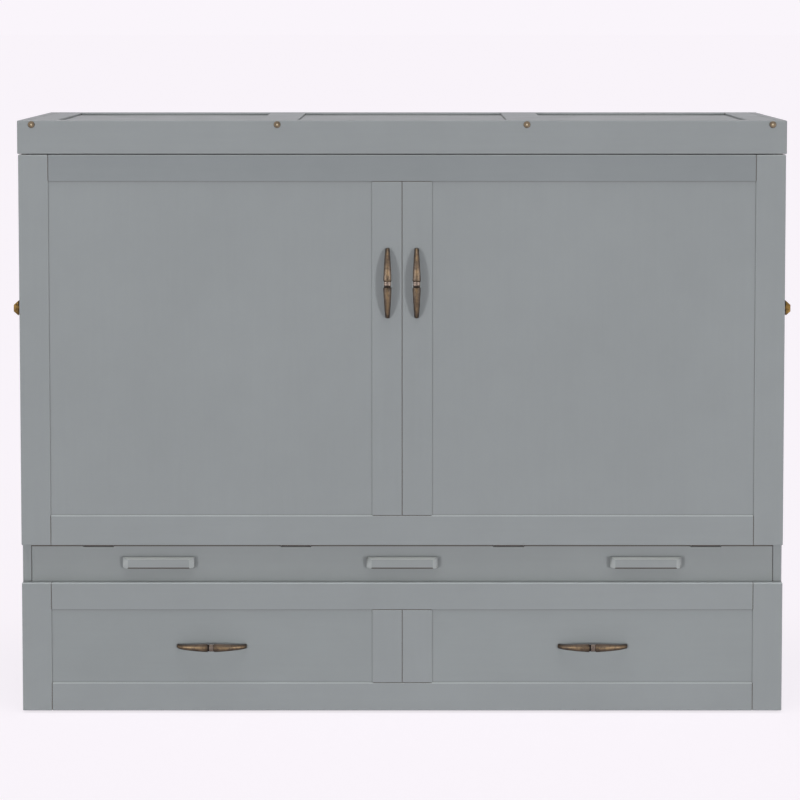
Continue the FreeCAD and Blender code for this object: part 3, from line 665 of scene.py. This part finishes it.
# Shares of the full width and thickness at a distance along the bow from its middle.
def bowShares(away, grooveHalf, halfLength, endShare):
    if away < bowPull["collarHalf"]:
        flare = bowPull["collarFlare"] * (away / bowPull["collarHalf"]) ** 2
        return bowPull["collarWidth"] + flare, bowPull["collarThickness"] + flare
    if away < grooveHalf:
        return bowPull["grooveWidth"], bowPull["grooveDepth"]
    beyond = away - grooveHalf
    share = min(1.0, beyond / (halfLength - grooveHalf))
    swell = 1 - share ** bowPull["taper"]
    rounding = math.sqrt(1 - max(0.0, 1 - beyond / bowPull["shoulder"]) ** 2)
    width = endShare + (1 - endShare) * swell
    shoulderWidth = bowPull["shoulderWidth"]
    shoulderThickness = bowPull["shoulderThickness"]
    return (width * (shoulderWidth + (1 - shoulderWidth) * rounding),
            shoulderThickness + (1 - shoulderThickness) * rounding)


# A ring spun through half a turn about Z. The section's thin way points out from the centre of the
# turn, its wide way along Z.
def spunHalfRing(radius, thickness, width):
    shape = bmesh.new()
    ring = bmesh.ops.create_circle(shape, segments=bowPull["ringPoints"], radius=1.0)["verts"]
    bmesh.ops.scale(shape, vec=(thickness / 2, width / 2, 1), verts=ring)
    bmesh.ops.transform(shape, matrix=Matrix.Rotation(math.radians(90), 4, "X"), verts=ring)
    bmesh.ops.translate(shape, vec=(radius, 0, 0), verts=ring)
    bmesh.ops.transform(shape, matrix=Matrix.Rotation(math.radians(-180), 4, "Z"), verts=ring)
    edges = list({edge for vert in ring for edge in vert.link_edges})
    bmesh.ops.spin(shape, geom=edges, cent=(0, 0, 0), axis=(0, 0, 1), dvec=(0, 0, 0),
                   angle=math.pi, steps=bowPull["stations"], use_duplicate=False)
    return shape


# The pull along X, standing out to -Y from y = 0. The spun ring is laid along half an ellipse. The
# neck's long groove lies on the side that longSide gives.
def bowShape(length, reach, width, longSide):
    thickness = bowPull["thickness"]
    rise = reach - thickness / 2
    radius = (length - thickness) / 2 + bowPull["endCut"]
    shape = spunHalfRing(radius, thickness, width)
    crest = shape.verts.layers.float.new("crest")
    patinaAndShade = shape.verts.layers.float.new("patinaAndShade")
    lay = shape.verts.layers.float_vector.new("lay")
    for vert in shape.verts:
        arm = Vector((vert.co.x, vert.co.y))
        angle = math.atan2(arm.x, -arm.y)
        outward = arm.length - radius
        away = abs(math.sin(angle)) * radius
        longHere = math.sin(angle) * longSide > 0
        grooveHalf = bowPull["longGroove" if longHere else "shortGroove"]
        wide, thick = bowShares(away, grooveHalf, radius, bowPull["endWidth"] / width)
        across = abs(vert.co.z) / (width / 2)
        peaked = 1 - bowPull["ridge"] * across if outward > 0 else bowPull["backDepth"]
        facing = Vector((rise * math.sin(angle), -radius * math.cos(angle))).normalized()
        offset = outward * thick * peaked
        vert[crest] = (1 - across) ** bowPull["crestFade"] if outward > 0 and away > grooveHalf else 0.0
        # The neck's grooves are dark with patina; beside them painted shade fades out along each leaf,
        # longer on the long-groove side.
        fade = max(0.0, 1 - max(0.0, away - grooveHalf) / bowPull["neckShadeReach"])
        neckShade = bowPull["longNeckShade" if longHere else "shortNeckShade"]
        vert[patinaAndShade] = 1.0 if away < grooveHalf else fade * neckShade
        vert[lay] = (radius * math.sin(angle), vert.co.z, length)
        vert.co.x = radius * math.sin(angle) + facing.x * offset
        vert.co.y = -rise * math.cos(angle) + facing.y * offset
        vert.co.z *= wide
    rims = [edge for edge in shape.edges if edge.is_boundary]
    bmesh.ops.holes_fill(shape, edges=rims)
    for side in (1, -1):
        geometry = shape.verts[:] + shape.edges[:] + shape.faces[:]
        cut = bmesh.ops.bisect_plane(shape, geom=geometry, plane_co=(side * length / 2, 0, 0),
                                     plane_no=(side, 0, 0), clear_outer=True)
        rims = [item for item in cut["geom_cut"] if isinstance(item, bmesh.types.BMEdge)]
        bmesh.ops.holes_fill(shape, edges=rims)
    bmesh.ops.recalc_face_normals(shape, faces=shape.faces)
    for face in shape.faces:
        face.smooth = len(face.verts) < bowPull["capCorners"]
        face.material_index = 1 if abs(face.calc_center_median().x) < bowPull["collarHalf"] else 0
    return shape


def makeBowPulls():
    pulls = (("panel_pull_left", "front_panel", 1), ("panel_pull_right", "front_panel", 1),
             ("drawer_pull_left", "drawer", -1), ("drawer_pull_right", "drawer", -1))
    for name, body, longSide in pulls:
        low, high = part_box(name)
        size = high - low
        upright = size.z > size.x
        length = size.z if upright else size.x
        width = size.x if upright else size.z
        shape = bowShape(length, size.y, width, longSide)
        place = Matrix.Translation(((low.x + high.x) / 2, high.y, (low.z + high.z) / 2))
        if upright:
            place = place @ Matrix.Rotation(math.radians(90), 4, "Y")
        bmesh.ops.transform(shape, matrix=place, verts=shape.verts)
        piece = makePiece(name + "_bow", shape, body, [bronze, collarBronze])
        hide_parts(name)


makeBowPulls()
print("bow pulls made")


def nodeShape(nodeName):
    shape = bmesh.new()
    shape.from_mesh(nodes[nodeName].data)
    bmesh.ops.remove_doubles(shape, verts=shape.verts, dist=0.002 * mm)
    return shape


# A copy of a node's mesh with its triangles merged back into faces.
def mergedShape(nodeName):
    shape = nodeShape(nodeName)
    bmesh.ops.dissolve_limit(shape, angle_limit=math.radians(0.5), verts=shape.verts, edges=shape.edges)
    return shape


def softenedCopy(nodeName, body, finish, width, segments=2):
    piece = makePiece(nodeName + "_soft", mergedShape(nodeName), body, [finish])
    softenEdges(piece, width, segments)
    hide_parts(nodeName)
    return piece


latchEdge = {"arm": 0.6 * mm, "armSegments": 3, "plate": 0.3 * mm}
for side in ("left", "right"):
    softenedCopy("latch_arm_" + side, "latch_" + side, darkBronze,
                 latchEdge["arm"], latchEdge["armSegments"])
softenedCopy("latch_bases", "cabinet", darkBronze, latchEdge["plate"])
softenedCopy("latch_studs", "front_panel", darkBronze, latchEdge["plate"])

bolt = {"edge": 0.3 * mm, "rim": 0.5 * mm, "socketDepth": 0.7 * mm, "socketNormal": -0.9}


# The floor of each bolt's socket is raised to a shallow depth and left bright.
def dressBolts():
    bolts = softenedCopy("lid_bolts", "lid", boltBronze, bolt["edge"])
    bolts.data.materials.append(boltSocket)
    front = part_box("lid_bolts")[0].y
    for face in bolts.data.polygons:
        if face.center.y > front + bolt["rim"] and face.normal.y < bolt["socketNormal"]:
            face.material_index = 1
            for index in face.vertices:
                bolts.data.vertices[index].co.y = front + bolt["socketDepth"]


fingerPull = {
    "edge": 0.7 * mm,
    "edgeSegments": 3,
    "endBevel": 7.0 * mm,
    "squareEndBevel": 2.0 * mm,
    "reach": 0.2 * mm,
    "bevelNormals": (-0.95, -0.3),
    "lowestNormal": -0.1,
    "topNormal": 0.5,
}


# The finger pulls' ends stay nearly square, and their bevels carry a painted highlight, the top one most.
def dressFingerPulls():
    pulls = softenedCopy("finger_pulls", "foot_section", fingerPaint,
                         fingerPull["edge"], fingerPull["edgeSegments"])
    pulls.data.materials.append(bevelHighlightPaint)
    pulls.data.materials.append(topBevelHighlightPaint)
    flattest, steepest = fingerPull["bevelNormals"]
    for face in pulls.data.polygons:
        if flattest < face.normal.y < steepest and face.normal.z > fingerPull["lowestNormal"]:
            face.material_index = 2 if face.normal.z > fingerPull["topNormal"] else 1
    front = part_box("finger_pulls")[0].y
    for vert in pulls.data.vertices:
        if abs(vert.co.y - front - fingerPull["endBevel"]) < fingerPull["reach"]:
            vert.co.y = front + fingerPull["squareEndBevel"]


dressBolts()
dressFingerPulls()
print("softened copies made")

wheel = {"tyreShare": 0.83, "edge": 0.3 * mm, "edgeAngle": 25}


def makeWheels():
    for name, body in (("wheel_front_left", "wheel_fl"), ("wheel_front_right", "wheel_fr"),
                       ("wheel_back_left", "wheel_bl"), ("wheel_back_right", "wheel_br")):
        low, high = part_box(name)
        hub = (low + high) / 2
        rim = wheel["tyreShare"] * (high.z - low.z) / 2
        shape = mergedShape(name)
        for face in shape.faces:
            corner = max(math.hypot(vert.co.y - hub.y, vert.co.z - hub.z) for vert in face.verts)
            face.material_index = 0 if corner > rim else 1
        piece = makePiece(name + "_turned", shape, body, [tyreRubber, nylon])
        softenEdges(piece, wheel["edge"], angle=wheel["edgeAngle"])
        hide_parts(name)


makeWheels()
print("wheels made")

screw = {
    "headRadius": 3.4 * mm,
    "smallRadius": 2.6 * mm,
    "headHeight": 0.7 * mm,
    "headSides": 24,
    "topShare": 0.86,
    "crossArm": 2.0 * mm,
    "crossWidth": 0.62 * mm,
    "crossDepth": 0.9 * mm,
    "proud": 0.35 * mm,
    "latchProud": 0.3 * mm,
    "turnSeed": 1,
    "spacing": 20 * mm,
    "deckInset": 14 * mm,
    "footInset": 10 * mm,
    "battenShares": (0.03, 0.5, 0.97),
    "leafInset": 8 * mm,
    "latchInset": 6 * mm,
    "plateThickness": 2.0 * mm,
}


# One flat screw head that looks along +Z, with a cross recess in a bevelled disc.
def screwShape(radius):
    shape = bmesh.new()
    outer = bmesh.ops.create_circle(shape, segments=screw["headSides"], radius=radius)["verts"]
    foot = bmesh.ops.extrude_edge_only(shape, edges=shape.edges[:])["geom"]
    footVerts = [item for item in foot if isinstance(item, bmesh.types.BMVert)]
    bmesh.ops.translate(shape, vec=(0, 0, -screw["headHeight"]), verts=footVerts)
    bmesh.ops.scale(shape, vec=(screw["topShare"], screw["topShare"], 1), verts=outer)
    rim = [edge for edge in shape.edges if not any(vert in footVerts for vert in edge.verts)]
    scale = radius / screw["headRadius"]
    arm = screw["crossArm"] * scale
    half = screw["crossWidth"] * scale
    outline = ((arm, -half), (arm, half), (half, half), (half, arm), (-half, arm), (-half, half),
               (-arm, half), (-arm, -half), (-half, -half), (-half, -arm), (half, -arm), (half, -half))
    corners = [shape.verts.new((x, y, 0)) for x, y in outline]
    cross = [shape.edges.new((corners[index - 1], corners[index])) for index in range(len(corners))]
    bmesh.ops.bridge_loops(shape, edges=rim + cross)
    sunk = bmesh.ops.extrude_edge_only(shape, edges=cross)["geom"]
    sunkVerts = [item for item in sunk if isinstance(item, bmesh.types.BMVert)]
    bmesh.ops.translate(shape, vec=(0, 0, -screw["crossDepth"] * scale), verts=sunkVerts)
    sunkEdges = [item for item in sunk if isinstance(item, bmesh.types.BMEdge)
                 and all(vert in sunkVerts for vert in item.verts)]
    bmesh.ops.edgeloop_fill(shape, edges=sunkEdges)
    bmesh.ops.recalc_face_normals(shape, faces=shape.faces)
    return shape


# Screws at a list of places, all facing one way, as one piece.
def screwRow(name, body, places, facing, radius, finish, proud=screw["proud"]):
    turns = random.Random(screw["turnSeed"])
    pattern = meshFrom(name + "Pattern", screwShape(radius))
    aim = Vector((0, 0, 1)).rotation_difference(Vector(facing)).to_matrix().to_4x4()
    shape = bmesh.new()
    for place in places:
        before = len(shape.verts)
        shape.from_mesh(pattern)
        shape.verts.ensure_lookup_table()
        added = shape.verts[before:]
        spin = Matrix.Rotation(turns.uniform(0, math.pi / 2), 4, "Z")
        move = Matrix.Translation(Vector(place) + Vector(facing) * proud)
        bmesh.ops.transform(shape, matrix=move @ aim @ spin, verts=added)
    bpy.data.meshes.remove(pattern)
    return makePiece(name, shape, body, [finish])


# The boxes of the separate boards or leaves in one node.
def boardBoxes(nodeName):
    shape = nodeShape(nodeName)
    left = set(shape.verts)
    boxes = []
    while left:
        stack = [left.pop()]
        island = []
        while stack:
            vert = stack.pop()
            island.append(vert.co.copy())
            for edge in vert.link_edges:
                other = edge.other_vert(vert)
                if other in left:
                    left.remove(other)
                    stack.append(other)
        low = Vector([min(point[axis] for point in island) for axis in range(3)])
        high = Vector([max(point[axis] for point in island) for axis in range(3)])
        boxes.append((low, high))
    shape.free()
    return sorted(boxes, key=lambda pair: (round(pair[0].x, 4), round(pair[0].y, 4), round(pair[0].z, 4)))


# Places side by side along X, at the given numbers of spacings from the middle of a board.
def sideBySide(low, high, steps, y, z):
    middle = (low.x + high.x) / 2
    return [(middle + step * screw["spacing"], y, z) for step in steps]


def makeSlatScrews():
    deck = []
    for low, high in boardBoxes("deck_slats"):
        deck += sideBySide(low, high, (-1, 1), high.y - screw["deckInset"], high.z)
    screwRow("deck_slat_screws", "cabinet", deck, (0, 0, 1), screw["headRadius"], zincSteel)
    foot = []
    for low, high in boardBoxes("foot_slats"):
        for y in (low.y + screw["footInset"], high.y - screw["footInset"]):
            foot += sideBySide(low, high, (-1, 1), y, high.z)
    screwRow("foot_slat_screws", "foot_section", foot, (0, 0, 1), screw["headRadius"], zincSteel)


def makePanelScrews():
    panel = []
    for low, high in boardBoxes("panel_battens"):
        for share in screw["battenShares"]:
            panel += sideBySide(low, high, (0,), high.y, low.z + (high.z - low.z) * share)
    screwRow("batten_screws", "front_panel", panel, (0, 1, 0), screw["headRadius"], zincSteel)


def makeHingeScrews():
    for nodeName, body in (("lid_hinge_fixed_leaves", "cabinet"), ("lid_hinge_moving_leaves", "lid")):
        spots = []
        for low, high in boardBoxes(nodeName):
            height = low.z + screw["leafInset"] if body == "cabinet" else high.z - screw["leafInset"]
            spots += sideBySide(low, high, (-1, 0, 1), low.y + screw["plateThickness"], height)
        screwRow(nodeName + "_screws", body, spots, (0, 1, 0), screw["smallRadius"], zincSteel)


def makeLatchScrews():
    inset = screw["latchInset"]
    bases = boardBoxes("latch_bases")
    for name, side in (("left", -1), ("right", 1)):
        low, high = next(box for box in bases if box[1].x * side > 0)
        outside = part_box("side_frame_" + name)[0 if side < 0 else 1].x
        face = outside + side * screw["plateThickness"]
        spots = [(face, y, z) for y in (low.y + inset, high.y - inset)
                 for z in (low.z + inset, high.z - inset)]
        screwRow("latch_screws_" + name, "cabinet", spots, (side, 0, 0), screw["smallRadius"], darkBronze,
                 screw["latchProud"])


makeSlatScrews()
makePanelScrews()
makeHingeScrews()
makeLatchScrews()
print("screws made")

# Azimuths, heights and softness are in degrees.
studio = {
    "background": (250, 245, 251),
    "worldLevel": 0.255,
    "sideLevel": 1.22,
    "sideAzimuth": 36.0,
    "sideHeight": 1.0,
    "sideSoftness": 5.0,
    "topLevel": 1.15,
    "topHeight": 75.0,
    "topSoftness": 40.0,
    "floorSize": 800.0,
    "floorColour": (0.9, 0.85, 0.9, 1.0),
    "floorShadow": 0.35,
    "floorGlow": 1.235,
}


# One where a ray comes straight from the camera, a mirror or glass.
def seenDirectly(tree):
    path = addNode(tree, "ShaderNodeLightPath")
    seen = sums(tree, "MAXIMUM", path.outputs["Is Camera Ray"], path.outputs["Is Glossy Ray"])
    return sums(tree, "MAXIMUM", seen, path.outputs["Is Transmission Ray"])


def mixedShader(tree, share, first, second):
    mix = addNode(tree, "ShaderNodeMixShader")
    for socket, source in zip(mix.inputs, (share, first.outputs[0], second.outputs[0])):
        wire(tree, source, socket)
    return mix.outputs[0]


def makeWorld():
    world = bpy.data.worlds.new("studioWorld")
    bpy.context.scene.world = world
    world.use_nodes = True
    tree = world.node_tree
    tree.nodes.clear()
    fill = addNode(tree, "ShaderNodeBackground")
    fill.inputs["Strength"].default_value = studio["worldLevel"]
    wall = addNode(tree, "ShaderNodeBackground")
    wall.inputs["Color"].default_value = picked(*studio["background"])
    shown = mixedShader(tree, seenDirectly(tree), fill, wall)
    wire(tree, shown, addNode(tree, "ShaderNodeOutputWorld").inputs[0])


def makeFloor():
    shape = bmesh.new()
    bmesh.ops.create_grid(shape, x_segments=1, y_segments=1, size=studio["floorSize"] / 2)
    mesh = meshFrom("studioFloor", shape)
    floor = linked("studioFloor", mesh)
    material = bpy.data.materials.new("paleFloor")
    material.use_nodes = True
    tree = material.node_tree
    matt = tree.nodes["Principled BSDF"]
    matt.inputs["Base Color"].default_value = studio["floorColour"]
    matt.inputs["Roughness"].default_value = 0.9
    matt.inputs["Specular IOR Level"].default_value = 0.0
    glow = addNode(tree, "ShaderNodeEmission")
    glow.inputs["Color"].default_value = picked(*studio["background"])
    glow.inputs["Strength"].default_value = studio["floorGlow"]
    share = sums(tree, "MULTIPLY", seenDirectly(tree), 1 - studio["floorShadow"])
    wire(tree, mixedShader(tree, share, matt, glow), tree.nodes["Material Output"].inputs[0])
    mesh.materials.append(material)


def addSun(name, azimuth, height, level, softness):
    lamp = bpy.data.lights.new(name, "SUN")
    lamp.energy = level
    lamp.angle = math.radians(softness)
    sun = linked(name, lamp)
    flat = math.radians(azimuth)
    up = math.radians(height)
    towards = Vector((math.sin(flat) * math.cos(up), -math.cos(flat) * math.cos(up), math.sin(up)))
    sun.rotation_mode = "QUATERNION"
    sun.rotation_quaternion = towards.to_track_quat("Z", "Y")


makeWorld()
makeFloor()
for side in (-1, 1):
    addSun("sideLight", side * studio["sideAzimuth"], studio["sideHeight"], studio["sideLevel"],
           studio["sideSoftness"])
addSun("topLight", 0.0, studio["topHeight"], studio["topLevel"], studio["topSoftness"])

view = {
    "place": (0.0284, -7.5255, 1.4879),
    "pitch": 4.498,
    "lens": 151.8,
    "shiftX": -0.0192,
    "shiftY": -0.14,
    "farthest": 1500.0,
}
lens = bpy.data.cameras.new("frontCamera")
lens.lens = view["lens"]
lens.shift_x = view["shiftX"]
lens.shift_y = view["shiftY"]
lens.clip_end = view["farthest"]
camera = linked("frontCamera", lens)
camera.location = view["place"]
camera.rotation_euler = (math.radians(90 - view["pitch"]), 0.0, 0.0)
bpy.context.scene.camera = camera

bpy.context.scene.view_settings.view_transform = "Standard"
print("studio ready")
